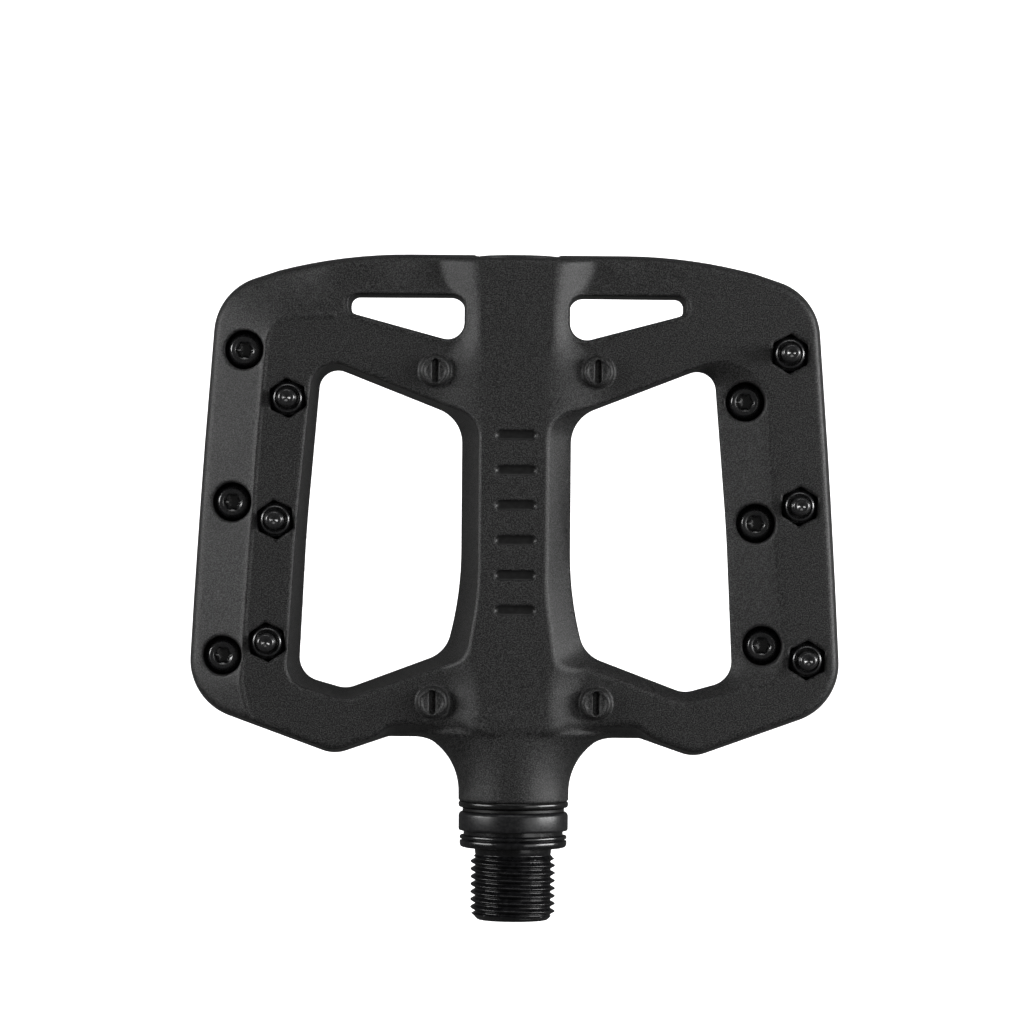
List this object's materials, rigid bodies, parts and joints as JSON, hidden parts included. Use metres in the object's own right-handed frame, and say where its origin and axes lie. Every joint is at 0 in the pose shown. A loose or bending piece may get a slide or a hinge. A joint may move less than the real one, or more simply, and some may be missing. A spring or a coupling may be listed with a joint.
{
  "type": "flat bicycle pedal",
  "caption": "Flat bicycle pedal: a moulded platform with open windows and screw-in traction pins, turning on a threaded steel axle with a bushing and a sealed ball bearing.",
  "frame": {"origin": "on the axle's axis at the crank-side face of its flange, where the pedal seats on the crank", "axes": "+Y runs along the axle from the crank to the pedal's outboard end, +Z out of the platform's upper face, +X across the platform"},
  "size_m": [0.1084, 0.1111, 0.0228],
  "materials": {
    "composite": "black moulded fibre-filled nylon with a fine grain",
    "axle_steel": "black-coated machined steel, half gloss",
    "seal_rubber": "dull black rubber",
    "washer_plastic": "black low-friction plastic",
    "bushing_plastic": "glossy black bearing plastic",
    "bearing_steel": "ground bearing steel",
    "ball_steel": "polished steel",
    "cage_plastic": "natural nylon",
    "shield_rubber": "black rubber",
    "zinc_steel": "zinc-plated steel",
    "nylon": "white nylon",
    "cap_plastic": "black moulded plastic",
    "pin_steel": "black-oxide steel, oiled",
    "nut_steel": "black-oxide steel with a dark locking collar"
  },
  "bodies": {
    "axle": {"axle": "axle_steel", "axle_seal": "seal_rubber", "backing_washer": "washer_plastic", "bearing_inner_race": "bearing_steel", "axle_washer": "zinc_steel", "axle_locknut": "zinc_steel", "axle_nut_insert": "nylon"},
    "platform": {"pedal_body": "composite", "inboard_bushing": "bushing_plastic", "bearing_outer_race": "bearing_steel", "bearing_shield_inboard": "shield_rubber", "bearing_shield_outboard": "shield_rubber", "end_cap": "cap_plastic", "end_cap_oring": "shield_rubber", "pin_left_outer_1": "pin_steel", "nut_left_outer_1": "nut_steel", "pin_left_outer_2": "pin_steel", "nut_left_outer_2": "nut_steel", "pin_left_outer_3": "pin_steel", "nut_left_outer_3": "nut_steel", "pin_left_inner_1": "pin_steel", "nut_left_inner_1": "nut_steel", "pin_left_inner_2": "pin_steel", "nut_left_inner_2": "nut_steel", "pin_left_inner_3": "pin_steel", "nut_left_inner_3": "nut_steel", "pin_right_outer_1": "pin_steel", "nut_right_outer_1": "nut_steel", "pin_right_outer_2": "pin_steel", "nut_right_outer_2": "nut_steel", "pin_right_outer_3": "pin_steel", "nut_right_outer_3": "nut_steel", "pin_right_inner_1": "pin_steel", "nut_right_inner_1": "nut_steel", "pin_right_inner_2": "pin_steel", "nut_right_inner_2": "nut_steel", "pin_right_inner_3": "pin_steel", "nut_right_inner_3": "nut_steel"},
    "ball_set": {"bearing_balls": "ball_steel", "bearing_cage": "cage_plastic"}
  },
  "joints": [
    {"name": "platform_spin", "type": "hinge", "parent": "axle", "child": "platform", "pos_m": [0, 0.05, 0], "axis": [0, 1, 0], "continuous": true},
    {"name": "ball_set_spin", "type": "hinge", "parent": "axle", "child": "ball_set", "pos_m": [0, 0.082, 0], "axis": [0, 1, 0], "continuous": true}
  ],
  "couplings": [
    {"joint": "ball_set_spin", "follows": "platform_spin", "ratio": 0.60526}
  ]
}
